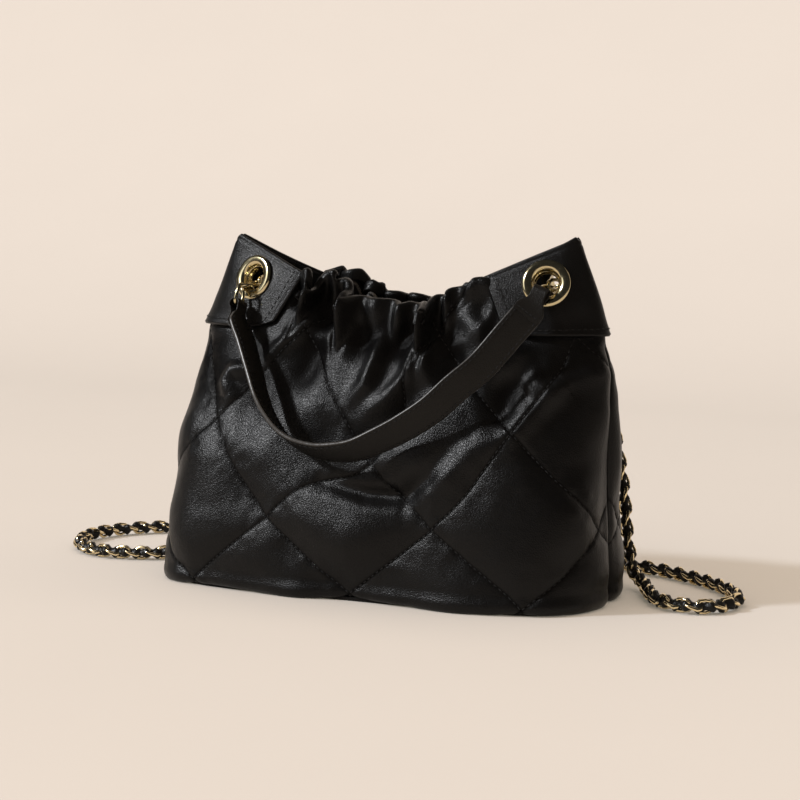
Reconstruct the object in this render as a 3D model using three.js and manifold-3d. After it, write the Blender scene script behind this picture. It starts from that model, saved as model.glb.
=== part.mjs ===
// Small bucket bag: quilted leather body, gathered mouth, folded side ears, short
// leather handle and a leather-laced chain strap. Millimetres, +Z up, front towards -Y,
// origin at the centre of the base on the floor.
import * as THREE from 'three';
import * as BufferGeometryUtils from 'three/addons/utils/BufferGeometryUtils.js';
import Module from 'manifold-3d';

const wasm = await Module();
wasm.setup();
const { Manifold, Mesh } = wasm;

// Body levels: height, half width, half depth, flatness of the face, softness of the corner
const LEVELS = [
  [0, 118, 47, 7.0, 0.36],
  [2, 121, 50, 7.0, 0.36],
  [6, 124, 52, 6.6, 0.36],
  [20, 126, 53, 6.0, 0.37],
  [60, 125.5, 49.5, 4.8, 0.41],
  [100, 122.5, 39.5, 3.5, 0.48],
  [137, 120, 27.5, 2.6, 0.58],
  [150, 115.4, 24.5, 2.3, 0.62],
  [165, 109.6, 20.6, 2.1, 0.68],
  [180, 103.8, 14.5, 2.0, 0.72],
  [192, 99.2, 9.0, 2.0, 0.72],
];
const PANEL_T = 2.0;
const PANEL_Z0 = 2.3;
const RIM_Z = 159;
const UNDER_EAR_Z = 149.5;
const EAR_Z0 = 139;
const EAR_IN = 0.6; // inner face of the ear, measured out from the body surface
const EAR_OUT = 2.2;
const BOTTOM_T = 2.0;
const BOARD_T = 2.0;
const LINING_IN = -5.2;
const LINING_OUT = -4.4;
const HEM_IN = -5;
const HEM_OUT = -4.2;
const ELASTIC_IN = -3.1;
const ELASTIC_OUT = -2.4;
const EYELET_X = 85;
const EYELET_Z = 165.6;
const EYELET_R = 12.5;
const EYELET_HOLE_R = 7;
const BARREL_R = 8;
const LINK_WIRE_R = 0.83;
const LINK_HALF_W = 3.6;
const LINK_HOLD = 1.4; // each link reaches this far past the point it shares with the next
const STRAP_HALF_W = 8;
const STRAP_LAYER = 1.2;
const STRAP_STEPS = 34;
const TONGUE_HALF_W = 1.6;
const TONGUE_R = 3.1;
const CHAIN_R = 4;
const SNAP_Z = 147;
const ZIP_X = 4;
const ZIP_Z = 110;
const ZIP_Y = 25.1;

// Points the links hang between, front to back, on the left and on the right
const LEFT_JOINTS = [
  [-80, -25.5, 152.9], [-80, -22, 161.5], [-76.5, -6.5, 163], [-76.5, 6.5, 163],
  [-78.5, 20, 161],
];
const RIGHT_JOINTS = [
  [94.5, -21, 162], [93.5, -6.5, 164], [93.5, 6.5, 164], [95, 20, 161.5],
];

// Handle centreline from the left end to the right end: x, y, z, roll of the strap in degrees
const HANDLE = [
  [-80, -26, 151.7, 0], [-77, -30, 143.5, 0], [-68.7, -37.1, 132.6, 0], [-59.5, -45.1, 118.4, 2],
  [-51.5, -51.7, 105.1, 6], [-44.4, -54.5, 95.1, 12], [-36.4, -56.5, 87.1, 20], [-27.4, -58, 82.1, 28],
  [-15.4, -58.5, 79.1, 36], [-4.4, -58.5, 79.1, 42], [7.6, -58, 81.1, 47], [20.1, -57, 86.6, 52],
  [32.6, -55.5, 93.1, 57], [47.6, -53.4, 103.1, 61], [59.4, -48.9, 114.5, 65], [70.9, -42.8, 125.2, 66],
  [84, -34, 140, 68], [94, -28.5, 151.5, 82], [94.6, -22.3, 161.8, 90],
];

// Chain strap from the back right eyelet, down, along the floor behind the bag and up again
const CHAIN = [
  [97, 26, 155], [104, 35, 141], [109, 44, 118], [111, 49, 90], [113, 53, 55],
  [117, 52, 24], [123, 45, 10], [132, 35, 5.5], [141, 18, 4.3], [150, 4, 4.3],
  [163, -3.5, 4.3], [177, -3.5, 4.3], [186, 8, 4.3], [186, 26, 4.3], [174, 46, 4.3],
  [152, 66, 4.3], [120, 84, 4.3], [84, 93, 4.3], [24, 95, 4.3], [-46, 96, 4.3],
  [-116, 97, 4.3], [-166, 94, 4.3], [-200, 84, 4.3], [-220, 62, 4.3], [-224, 38, 4.3],
  [-214, 15, 4.3], [-195, 1, 4.3], [-174, 0, 4.3], [-150, 10, 4.6], [-136, 28, 10],
  [-126, 46, 28], [-119.5, 50, 66], [-114, 43, 104], [-101, 34, 135], [-86, 27, 154],
];

const COLOURS = {
  quilted_leather: [0x17171a, 0.45],
  smooth_leather: [0x19191c, 0.4],
  lining_fabric: [0x2a2724, 0.9],
  gold_metal: [0xd8bf7a, 0.25],
  laced_chain: [0xcdb672, 0.3],
  elastic_band: [0x1c1c1c, 0.8],
  base_board: [0x5a5148, 0.85],
  zip_tape: [0x1a1a1a, 0.9],
};

const group = new THREE.Group();
group.name = 'bucket_bag';

function add(name, slot, geometry) {
  const [colour, roughness] = COLOURS[slot];
  const metal = slot === 'gold_metal' || slot === 'laced_chain' ? 1 : 0;
  const material = new THREE.MeshStandardMaterial({ color: colour, roughness, metalness: metal });
  material.name = slot;
  const mesh = new THREE.Mesh(geometry, material);
  mesh.name = name;
  group.add(mesh);
}

function smooth(x) {
  const t = Math.min(1, Math.max(0, x));
  return t * t * (3 - 2 * t);
}

// The soft top leans to the right, a little from the middle up and more towards the rim
function lean(z) {
  return 4 * smooth((z - 60) / 60) + 4.5 * smooth((z - 105) / 60);
}

// Smooth curve through the level table
function levelAt(z) {
  let i = 0;
  while (i < LEVELS.length - 2 && z >= LEVELS[i + 1][0]) i += 1;
  const a = LEVELS[i];
  const b = LEVELS[i + 1];
  const before = LEVELS[Math.max(i - 1, 0)];
  const after = LEVELS[Math.min(i + 2, LEVELS.length - 1)];
  const h = b[0] - a[0];
  const t = Math.min(1, Math.max(0, (z - a[0]) / h));
  return [1, 2, 3, 4].map((k) => {
    const sa = (b[k] - before[k]) / (b[0] - before[0]);
    const sb = (after[k] - a[k]) / (after[0] - a[0]);
    const h00 = 2 * t ** 3 - 3 * t ** 2 + 1;
    const h10 = t ** 3 - 2 * t ** 2 + t;
    const h01 = 3 * t ** 2 - 2 * t ** 3;
    const h11 = t ** 3 - t ** 2;
    return h00 * a[k] + h10 * h * sa + h01 * b[k] + h11 * h * sb;
  });
}

// Point on the body. theta runs -90 to 90 degrees across the front, on to 270 across the back
function bodyPoint(theta, z) {
  const [w, d, p, q] = levelAt(z);
  const s = Math.sin(theta);
  const side = Math.cos(theta) >= 0 ? -1 : 1;
  const x = w * s;
  const gather = 1 - 0.4 * smooth((z - 135) / 26) * (1 - smooth((Math.abs(x) - 30) / 30));
  const y = side * d * Math.max(0, 1 - Math.abs(s) ** p) ** q * gather;
  return new THREE.Vector3(x + lean(z), y, z);
}

function bodyNormal(theta, z) {
  const along = bodyPoint(theta + 0.03, z).sub(bodyPoint(theta - 0.03, z));
  const up = bodyPoint(theta, z + 0.5).sub(bodyPoint(theta, z - 0.5));
  return along.cross(up).normalize();
}

// half is -1 on the front, 1 on the back and 0 where a piece wraps round the side
function layerPoint(theta, z, off, half) {
  const v = bodyPoint(theta, z).addScaledVector(bodyNormal(theta, z), off);
  if (half < 0) v.y = Math.min(v.y, -0.17);
  if (half > 0) v.y = Math.max(v.y, 0.17);
  return v;
}

// Angles that step evenly along the leather from one side seam to the other
const spacing = new Map();
function evenTheta(f, z) {
  const key = Math.round(z * 4);
  if (!spacing.has(key)) {
    const n = 160;
    const list = [[-Math.PI / 2, 0]];
    let last = bodyPoint(-Math.PI / 2, key / 4);
    for (let i = 1; i <= n; i += 1) {
      const e = i / n * 2 - 1;
      const theta = Math.PI / 2 * Math.sign(e) * (1 - (1 - Math.abs(e)) ** 1.7);
      const here = bodyPoint(theta, key / 4);
      list.push([theta, list[i - 1][1] + here.distanceTo(last)]);
      last = here;
    }
    spacing.set(key, list);
  }
  const list = spacing.get(key);
  const want = f * list[list.length - 1][1];
  let i = 1;
  while (i < list.length - 1 && list[i][1] < want) i += 1;
  const t = (want - list[i - 1][1]) / (list[i][1] - list[i - 1][1]);
  return list[i - 1][0] + (list[i][0] - list[i - 1][0]) * t;
}

// A box divided into cells and bent into place: u across, v up, w through the thickness
function bentSheet(nu, nv, nw, place) {
  const g = new THREE.BoxGeometry(1, 1, 1, nu, nv, nw);
  const p = g.attributes.position;
  for (let i = 0; i < p.count; i += 1) {
    const v = place(p.getX(i) + 0.5, p.getY(i) + 0.5, p.getZ(i) + 0.5);
    p.setXYZ(i, v.x, v.y, v.z);
  }
  g.computeVertexNormals();
  return g;
}

function toManifold(geometry) {
  const bare = new THREE.BufferGeometry();
  bare.setAttribute('position', geometry.attributes.position.clone());
  if (geometry.index) bare.setIndex(geometry.index.clone());
  const g = BufferGeometryUtils.mergeVertices(bare, 1e-4);
  const mesh = new Mesh({
    numProp: 3,
    vertProperties: new Float32Array(g.attributes.position.array),
    triVerts: new Uint32Array(g.index.array),
  });
  mesh.merge();
  return new Manifold(mesh);
}

function fromManifold(solid) {
  const mesh = solid.getMesh();
  const g = new THREE.BufferGeometry();
  g.setAttribute('position', new THREE.BufferAttribute(new Float32Array(mesh.vertProperties), 3));
  g.setIndex(new THREE.BufferAttribute(new Uint32Array(mesh.triVerts), 1));
  g.computeVertexNormals();
  return g;
}

// Turns +Y of a geometry towards an axis and moves it to a point
function aim(geometry, axis, at) {
  const turn = new THREE.Quaternion().setFromUnitVectors(new THREE.Vector3(0, 1, 0), axis);
  geometry.applyQuaternion(turn);
  geometry.translate(at.x, at.y, at.z);
  return geometry;
}

// Upper edge of the quilted panel: the rim between the ears, lower where an ear covers it
function panelTop(f) {
  const x = Math.abs(bodyPoint(evenTheta(f, 150), 150).x - lean(150));
  return RIM_Z + (UNDER_EAR_Z - RIM_Z) * smooth((x - 54) / 13);
}

function wallSheet(half, f0, f1, z0, top, off0, off1, nu, nv) {
  return bentSheet(nu, nv, 1, (u, v, w) => {
    const f = f0 + (f1 - f0) * u;
    const z = z0 + (top(f) - z0) * v ** (1 + 0.35 * (z0 < 10 ? 1 : 0));
    const theta = evenTheta(f, z) + (half > 0 ? Math.PI : 0);
    return layerPoint(theta, z, off0 + (off1 - off0) * w, half);
  });
}

function quiltedPanel(half) {
  return wallSheet(half, 0.001, 0.999, PANEL_Z0, panelTop, -PANEL_T, 0, 32, 10);
}

function liningWall(half) {
  return wallSheet(half, 0.02, 0.98, 7, () => 138, LINING_IN, LINING_OUT, 22, 6);
}

function hemFacing(half) {
  return wallSheet(half, 0.03, 0.97, 139.5, (f) => panelTop(f) - 1.5, HEM_IN, HEM_OUT, 28, 1);
}

function elasticBand(half) {
  const top = () => RIM_Z - 1.5;
  return wallSheet(half, 0.32, 0.68, RIM_Z - 8, top, ELASTIC_IN, ELASTIC_OUT, 14, 1);
}

// A flat plate whose outline follows the body at a height, set in by a margin
function floorPlate(level, inset, z0, z1) {
  const [w, d, p, q] = levelAt(level);
  const outline = [];
  for (let i = 0; i < 56; i += 1) {
    const e = i % 28 / 28 * 2 - 1;
    const theta = Math.PI / 2 * Math.sign(e) * (1 - (1 - Math.abs(e)) ** 1.7);
    const side = i < 28 ? -1 : 1;
    const s = -side * Math.sin(theta);
    const y = side * (d - inset) * Math.max(0, 1 - Math.abs(s) ** p) ** q;
    outline.push(new THREE.Vector2((w - inset) * s, y));
  }
  const g = new THREE.ExtrudeGeometry(new THREE.Shape(outline), {
    depth: z1 - z0,
    bevelEnabled: false,
  });
  g.translate(0, 0, z0);
  return g;
}

// Inner edge of an ear and its sloping top edge
function earInnerX(z) {
  return z >= 143 ? 66 - (z - 143) * 0.5385 : 66 + 16 * ((143 - z) / 4) ** 1.5;
}

function earTop(s) {
  return (146.25 + 75.7 * s) / (1 + 0.1683 * s);
}

// One ear: front flap, soft fold at the side, back flap
function earSheet(side, off0, off1, z0, innerX, drop, nu, nv) {
  return bentSheet(nu, nv, 1, (u, v, w) => {
    const c = Math.abs(1 - 2 * u);
    let z = 160;
    let theta = 0;
    for (let i = 0; i < 6; i += 1) {
      const inner = Math.asin(Math.min(1, innerX(z) / levelAt(z)[0]));
      theta = Math.PI / 2 - c * (Math.PI / 2 - inner);
      z = z0 + (earTop(Math.sin(theta)) - drop - z0) * v;
    }
    if (u > 0.5) theta = Math.PI - theta;
    if (side < 0) theta += Math.PI;
    return layerPoint(theta, z, off0 + (off1 - off0) * w, 0);
  });
}

function eyeletSeat(side, half) {
  let theta = Math.asin(EYELET_X / levelAt(EYELET_Z)[0]) * side;
  if (half > 0) theta = Math.PI - theta;
  return { at: bodyPoint(theta, EYELET_Z), axis: bodyNormal(theta, EYELET_Z) };
}

function withEyeletHoles(geometry, side) {
  let solid = toManifold(geometry);
  for (const half of [-1, 1]) {
    const seat = eyeletSeat(side, half);
    const drill = new THREE.CylinderGeometry(BARREL_R + 0.4, BARREL_R + 0.4, 14, 24);
    solid = solid.subtract(toManifold(aim(drill, seat.axis, seat.at)));
  }
  return fromManifold(solid);
}

// Domed outer ring and the barrel that passes through the leather
function eyelet(side, half) {
  const seat = eyeletSeat(side, half);
  const r = [
    [EYELET_HOLE_R, -3.6], [BARREL_R, -3.6], [BARREL_R, 2.5], [EYELET_R - 0.4, 2.5],
    [EYELET_R, 2.9], [EYELET_R - 0.8, 3.7], [EYELET_R - 2.6, 4.2], [EYELET_R - 4.4, 4.0],
    [EYELET_HOLE_R + 0.3, 3.3], [EYELET_HOLE_R, 2.6], [EYELET_HOLE_R, -3.6],
  ];
  const g = new THREE.LatheGeometry(r.map(([x, y]) => new THREE.Vector2(x, y)), 24);
  return aim(g, seat.axis, seat.at);
}

// Flat ring on the inside that the barrel is pressed against
function eyeletWasher(side, half) {
  const seat = eyeletSeat(side, half);
  const r = [
    [BARREL_R + 0.3, -3.2], [EYELET_R - 1.5, -3.2], [EYELET_R - 1.5, -2.2],
    [BARREL_R + 0.3, -2.2], [BARREL_R + 0.3, -3.2],
  ];
  const g = new THREE.LatheGeometry(r.map(([x, y]) => new THREE.Vector2(x, y)), 20);
  return aim(g, seat.axis, seat.at);
}

// Closed wire link between two shared points; across is the direction it is wide in
class LinkCurve extends THREE.Curve {
  constructor(a, b, across) {
    super();
    this.mid = a.clone().add(b).multiplyScalar(0.5);
    this.long = b.clone().sub(a);
    this.reach = this.long.length() / 2 + LINK_HOLD;
    this.long.normalize();
    this.wide = across.clone().addScaledVector(this.long, -across.dot(this.long)).normalize();
  }

  getPoint(t, target = new THREE.Vector3()) {
    const c = Math.cos(2 * Math.PI * t);
    const s = Math.sin(2 * Math.PI * t);
    const flat = (k) => Math.sign(k) * Math.abs(k) ** 0.72;
    target.copy(this.mid).addScaledVector(this.long, this.reach * flat(c));
    return target.addScaledVector(this.wide, LINK_HALF_W * flat(s));
  }
}

function link(a, b, across) {
  const curve = new LinkCurve(new THREE.Vector3(...a), new THREE.Vector3(...b), across);
  return new THREE.TubeGeometry(curve, 16, LINK_WIRE_R, 6, true);
}

// Smooth path of the handle and the strap's width direction along it
const handlePath = new THREE.CatmullRomCurve3(
  HANDLE.map(([x, y, z]) => new THREE.Vector3(x, y, z)), false, 'centripetal');
const HANDLE_LENGTH = handlePath.getLength();

function handleFrame(d) {
  const u = Math.min(1, Math.max(0, d / HANDLE_LENGTH));
  const t = handlePath.getUtoTmapping(u);
  const at = handlePath.getPoint(t);
  const along = handlePath.getTangent(t);
  const k = t * (HANDLE.length - 1);
  const i = Math.min(HANDLE.length - 2, Math.floor(k));
  const roll = (HANDLE[i][3] + (HANDLE[i + 1][3] - HANDLE[i][3]) * (k - i)) * Math.PI / 180;
  const front = new THREE.Vector3(0, -1, 0);
  front.addScaledVector(along, -front.dot(along)).normalize();
  const inner = front.clone().cross(along);
  const wide = front.multiplyScalar(Math.cos(roll)).addScaledVector(inner, Math.sin(roll));
  const thick = wide.clone().cross(along).normalize();
  return { at, along, wide, thick };
}

function strapHalfWidth(d) {
  const e = Math.min(d, HANDLE_LENGTH - d);
  return TONGUE_HALF_W + (STRAP_HALF_W - TONGUE_HALF_W) * smooth((e - 3) / 6);
}

function strapPoint(d, across, lift) {
  const f = handleFrame(d);
  const over = d < 0 ? d : Math.max(0, d - HANDLE_LENGTH);
  return f.at.clone().addScaledVector(f.along, over).addScaledVector(f.thick, lift)
    .addScaledVector(f.wide, across * strapHalfWidth(d));
}

// Run of the outer layer seen edge-on: distance along the strap and lift off its middle.
// It turns round the wire at each end and comes back as a short stitched flap.
function strapRun() {
  const run = [];
  const lap = 15;
  const low = -2.7;
  const high = 1.1;
  for (const d of [lap, 11, 7.5]) run.push([d, low]);
  for (let i = 0; i <= 8; i += 1) {
    const a = (-60 - i * 30) * Math.PI / 180;
    run.push([TONGUE_R * Math.cos(a), TONGUE_R * Math.sin(a)]);
  }
  run.push([7.5, high]);
  for (let i = 0; i <= STRAP_STEPS; i += 1) {
    run.push([11 + (HANDLE_LENGTH - 22) * i / STRAP_STEPS, high]);
  }
  run.push([HANDLE_LENGTH - 7.5, high]);
  for (let i = 8; i >= 0; i -= 1) {
    const a = (-60 - i * 30) * Math.PI / 180;
    run.push([HANDLE_LENGTH - TONGUE_R * Math.cos(a), TONGUE_R * Math.sin(a)]);
  }
  for (const d of [7.5, 11, lap]) run.push([HANDLE_LENGTH - d, low]);
  return run;
}

function handleOuter() {
  const run = strapRun();
  const n = run.length - 1;
  return bentSheet(n, 1, 1, (u, v, w) => {
    const i = Math.round(u * n);
    const a = run[Math.max(0, i - 1)];
    const b = run[Math.min(n, i + 1)];
    const len = Math.hypot(b[0] - a[0], b[1] - a[1]);
    const nd = -(b[1] - a[1]) / len;
    const nl = (b[0] - a[0]) / len;
    const off = (w - 0.5) * STRAP_LAYER;
    const d = run[i][0] + nd * off;
    return strapPoint(d, 1 - 2 * v, run[i][1] + nl * off);
  });
}

function handleBacking() {
  const n = STRAP_STEPS + 2;
  return bentSheet(n, 1, 1, (u, v, w) => {
    const i = Math.round(u * n);
    let d = 11 + (HANDLE_LENGTH - 22) * (i - 1) / STRAP_STEPS;
    if (i === 0) d = 7.5;
    if (i === n) d = HANDLE_LENGTH - 7.5;
    return strapPoint(d, 1 - 2 * v, -0.8 + (w - 0.5) * STRAP_LAYER);
  });
}

function chainStrap() {
  const route = new THREE.CatmullRomCurve3(
    CHAIN.map(([x, y, z]) => new THREE.Vector3(x, y, z)), false, 'centripetal');
  const ring = new THREE.Shape();
  ring.absarc(0, 0, CHAIN_R, 0, 2 * Math.PI, false);
  return new THREE.ExtrudeGeometry(ring, { steps: 64, curveSegments: 4, extrudePath: route });
}

function box(cx, cy, cz, lx, ly, lz) {
  const g = new THREE.BoxGeometry(lx, ly, lz);
  g.translate(cx, cy, cz);
  return g;
}

// Round half of the magnetic closure, lying on the facing inside the rim
function snapDisc(half, radius, thick) {
  const theta = half < 0 ? 0 : Math.PI;
  const axis = bodyNormal(theta, SNAP_Z);
  const at = bodyPoint(theta, SNAP_Z).addScaledVector(axis, HEM_IN - 0.9 - thick / 2);
  return aim(new THREE.CylinderGeometry(radius, radius, thick, 20), axis, at);
}

// Flat open-topped patch pocket on the inside of the front
function slipPocket() {
  return bentSheet(12, 6, 1, (u, v, w) => {
    const f = 0.3 + 0.4 * u;
    const z = 40 + 62 * v;
    return layerPoint(evenTheta(f, z), z, -7 + 0.8 * w, -1);
  });
}

// Closed pouch of the zip pocket, between the lining and the back panel
function zipPouch() {
  return bentSheet(12, 6, 1, (u, v, w) => {
    const f = 0.3 + 0.4 * u;
    const z = 48 + 60 * v;
    return layerPoint(evenTheta(f, z) + Math.PI, z, -3.9 + 1.4 * w, 1);
  });
}

// --- body
add('front_panel', 'quilted_leather', quiltedPanel(-1));
add('back_panel', 'quilted_leather', quiltedPanel(1));
add('bottom_panel', 'smooth_leather', floorPlate(1.5, 0, 0, BOTTOM_T));
add('base_board', 'base_board', floorPlate(2, 8, 2.6, 2.6 + BOARD_T));
add('lining_base', 'lining_fabric', floorPlate(2, 9, 5.2, 5.9));
add('lining_front', 'lining_fabric', liningWall(-1));
add('lining_back', 'lining_fabric', liningWall(1));
add('hem_facing_front', 'smooth_leather', hemFacing(-1));
add('hem_facing_back', 'smooth_leather', hemFacing(1));
add('elastic_front', 'elastic_band', elasticBand(-1));
add('elastic_back', 'elastic_band', elasticBand(1));

// --- side ears with their facings, eyelets and links
for (const side of [-1, 1]) {
  const tag = side < 0 ? 'left' : 'right';
  const ear = earSheet(side, EAR_IN, EAR_OUT, EAR_Z0, earInnerX, 0, 20, 6);
  add(`ear_${tag}`, 'smooth_leather', withEyeletHoles(ear, side));
  const facingInner = (z) => 72 - (z - 152);
  const facing = earSheet(side, -1.3, 0, 152, facingInner, 1.2, 16, 4);
  add(`ear_facing_${tag}`, 'smooth_leather', withEyeletHoles(facing, side));
  for (const half of [-1, 1]) {
    const face = half < 0 ? 'front' : 'back';
    add(`eyelet_${face}_${tag}`, 'gold_metal', eyelet(side, half));
    add(`eyelet_washer_${face}_${tag}`, 'gold_metal', eyeletWasher(side, half));
  }
}
const X_AXIS = new THREE.Vector3(1, 0, 0);
const Z_AXIS = new THREE.Vector3(0, 0, 1);
const LEFT_WIDE = handleFrame(0).wide.setX(0);
add('handle_link_left', 'gold_metal', link(LEFT_JOINTS[0], LEFT_JOINTS[1], LEFT_WIDE));
add('front_link_left', 'gold_metal', link(LEFT_JOINTS[1], LEFT_JOINTS[2], X_AXIS));
add('middle_link_left', 'gold_metal', link(LEFT_JOINTS[2], LEFT_JOINTS[3], Z_AXIS));
add('back_link_left', 'gold_metal', link(LEFT_JOINTS[3], LEFT_JOINTS[4], X_AXIS));
add('front_link_right', 'gold_metal', link(RIGHT_JOINTS[0], RIGHT_JOINTS[1], X_AXIS));
add('middle_link_right', 'gold_metal', link(RIGHT_JOINTS[1], RIGHT_JOINTS[2], Z_AXIS));
add('back_link_right', 'gold_metal', link(RIGHT_JOINTS[2], RIGHT_JOINTS[3], X_AXIS));

// --- short handle
add('handle_strap_outer', 'smooth_leather', handleOuter());
add('handle_strap_backing', 'smooth_leather', handleBacking());

// --- magnetic closure inside the rim
add('snap_stud', 'gold_metal', snapDisc(-1, 6, 2.2));
add('snap_cup', 'gold_metal', snapDisc(1, 7, 2.6));

// --- inside pockets
add('slip_pocket', 'lining_fabric', slipPocket());
add('zip_pocket_pouch', 'lining_fabric', zipPouch());
add('zip_tape', 'zip_tape', box(ZIP_X, ZIP_Y, ZIP_Z, 106, 0.7, 18));
add('zip_teeth', 'gold_metal', box(ZIP_X, ZIP_Y - 1.05, ZIP_Z, 90, 0.8, 4));
add('zip_stop_left', 'gold_metal', box(ZIP_X - 47.5, ZIP_Y - 1.15, ZIP_Z, 3, 1, 6));
add('zip_stop_right', 'gold_metal', box(ZIP_X + 47.5, ZIP_Y - 1.15, ZIP_Z, 3, 1, 6));
add('zip_slider', 'gold_metal', box(ZIP_X - 39, ZIP_Y - 2.6, ZIP_Z, 9, 1.6, 8));
add('zip_pull', 'gold_metal', box(ZIP_X - 39, ZIP_Y - 4.3, ZIP_Z - 9, 5, 1.1, 22));

// --- chain strap laced with leather
add('chain_strap', 'laced_chain', chainStrap());

export default group;
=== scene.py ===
# %% [markdown]
# A small bucket bag in black leather. The frame (sizes, joints, places) is loaded first and
# stays as it is; everything below gives its pieces their soft shapes and their finishes.
# All lengths are typed in millimetres and turned into metres with MM.

# %% Load the frame
import math
import bpy
import numpy as np
from mathutils import Matrix, Vector


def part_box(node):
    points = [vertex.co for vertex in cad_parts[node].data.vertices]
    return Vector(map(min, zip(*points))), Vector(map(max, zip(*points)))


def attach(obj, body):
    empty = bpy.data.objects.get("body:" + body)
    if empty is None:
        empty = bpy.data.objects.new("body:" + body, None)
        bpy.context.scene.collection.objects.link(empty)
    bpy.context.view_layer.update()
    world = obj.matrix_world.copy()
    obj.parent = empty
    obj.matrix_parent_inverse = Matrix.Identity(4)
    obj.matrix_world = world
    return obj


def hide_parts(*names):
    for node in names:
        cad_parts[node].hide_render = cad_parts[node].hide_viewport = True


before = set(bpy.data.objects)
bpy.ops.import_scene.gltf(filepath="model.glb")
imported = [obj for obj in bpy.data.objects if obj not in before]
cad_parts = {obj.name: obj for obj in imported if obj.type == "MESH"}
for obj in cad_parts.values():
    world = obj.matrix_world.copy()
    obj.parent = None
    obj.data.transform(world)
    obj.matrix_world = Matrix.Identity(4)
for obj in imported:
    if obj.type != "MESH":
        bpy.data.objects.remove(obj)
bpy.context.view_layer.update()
MM = 0.001
rng = np.random.default_rng(11)

# %% [markdown]
# The camera comes first: a long lens, a little above the base and to the right of the front.

# %% Camera
bpy.ops.object.select_all(action="DESELECT")
bpy.ops.object.camera_add(location=(0.4664, -0.9673, 0.2138),
                          rotation=(math.radians(84.0), 0, math.radians(25.5)))
camera = bpy.context.object
camera.name = "camera"
camera.data.lens = 90
camera.data.sensor_width = 36
bpy.context.scene.camera = camera


# %% [markdown]
# Helpers. A grid primitive is the sheet most leather and cloth pieces start from: its
# vertices are laid on a formula, then Solidify gives it the thickness of the hide.

# %% Mesh helpers
def smooth(x):
    t = np.clip(x, 0, 1)
    return t * t * (3 - 2 * t)


def select_only(obj):
    bpy.ops.object.select_all(action="DESELECT")
    obj.select_set(True)
    bpy.context.view_layer.objects.active = obj


def face_outward(obj):
    select_only(obj)
    bpy.ops.object.mode_set(mode="EDIT")
    bpy.ops.mesh.select_all(action="SELECT")
    bpy.ops.mesh.normals_make_consistent(inside=False)
    bpy.ops.object.mode_set(mode="OBJECT")


def apply_modifier(obj, kind, **settings):
    select_only(obj)
    mod = obj.modifiers.new(kind.lower(), kind)
    for key, value in settings.items():
        setattr(mod, key, value)
    bpy.ops.object.modifier_apply(modifier=mod.name)


def sheet_mesh(name, points, thick=0.0):
    """points is rows by columns by xyz in mm, u to the right and v up seen from outside."""
    rows, cols = points.shape[:2]
    bpy.ops.object.select_all(action="DESELECT")
    bpy.ops.mesh.primitive_grid_add(x_subdivisions=cols - 1, y_subdivisions=rows - 1)
    obj = bpy.context.object
    obj.name = name
    obj.data.vertices.foreach_set("co", (points * MM).reshape(-1).astype(np.float32))
    if thick:
        apply_modifier(obj, "SOLIDIFY", thickness=thick * MM, offset=-1)
    obj.data.shade_smooth()
    return obj


def finish_piece(obj, material, body, nodes=()):
    obj.data.materials.clear()
    obj.data.materials.append(material)
    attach(obj, body)
    if nodes:
        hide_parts(*nodes)
    return obj


def mesh_object(name, verts, faces):
    """A smooth shaded object from vertices in metres and faces."""
    mesh = bpy.data.meshes.new(name)
    mesh.from_pydata(verts.tolist(), [], faces)
    mesh.shade_smooth()
    obj = bpy.data.objects.new(name, mesh)
    bpy.context.collection.objects.link(obj)
    return obj


def loft_rings(name, rings):
    """A closed body over rows of section points in mm, with a cap at each end."""
    n, m = rings.shape[:2]
    faces = [(i * m + j, i * m + (j + 1) % m, (i + 1) * m + (j + 1) % m, (i + 1) * m + j)
             for i in range(n - 1) for j in range(m)]
    faces += [tuple(range(m))[::-1], tuple(range((n - 1) * m, n * m))]
    obj = mesh_object(name, rings.reshape(-1, 3) * MM, faces)
    face_outward(obj)
    return obj


def join_copies(name, source, matrices):
    """One mesh made of copies of a modelled piece, each at its own place."""
    mesh = source.data
    co = np.empty(len(mesh.vertices) * 3, np.float32)
    mesh.vertices.foreach_get("co", co)
    co = np.c_[co.reshape(-1, 3), np.ones(len(mesh.vertices))]
    faces = [tuple(p.vertices) for p in mesh.polygons]
    places = np.array([np.array(m) for m in matrices])
    verts = np.einsum("nij,kj->nki", places, co)[..., :3].reshape(-1, 3)
    all_faces = [tuple(i + k * len(co) for i in f) for k in range(len(places)) for f in faces]
    return mesh_object(name, verts, all_faces)


def place_matrix(at, x_axis, z_axis, scale=1.0):
    """A copy at a point (mm), its X along one direction and its Z close to another."""
    x = np.array(x_axis, float) / np.linalg.norm(x_axis)
    z = np.array(z_axis, float) - np.dot(z_axis, x) * x
    z /= np.linalg.norm(z)
    m = np.eye(4)
    m[:3, 0], m[:3, 1], m[:3, 2] = x * scale, np.cross(z, x) * scale, z * scale
    m[:3, 3] = np.array(at) * MM
    return m


def spline(points, step=1.0):
    """Points in mm on one smooth curve through the given ones, evenly spaced."""
    p = np.array(points, float)
    p = np.vstack([2 * p[0] - p[1], p, 2 * p[-1] - p[-2]])
    fine = []
    for i in range(1, len(p) - 2):
        t = np.linspace(0, 1, 24, endpoint=False)[:, None]
        a, b, c, d = p[i - 1], p[i], p[i + 1], p[i + 2]
        fine.append(0.5 * (2 * b + (c - a) * t + (2 * a - 5 * b + 4 * c - d) * t ** 2
                           + (3 * b - a - 3 * c + d) * t ** 3))
    fine = np.vstack(fine + [p[-2:-1]])
    along = np.r_[0, np.cumsum(np.linalg.norm(np.diff(fine[:, :3], axis=0), axis=1))]
    n = max(2, int(round(along[-1] / step)))
    want = np.linspace(0, along[-1], n + 1)
    return np.stack([np.interp(want, along, fine[:, k]) for k in range(p.shape[1])], 1)


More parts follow.
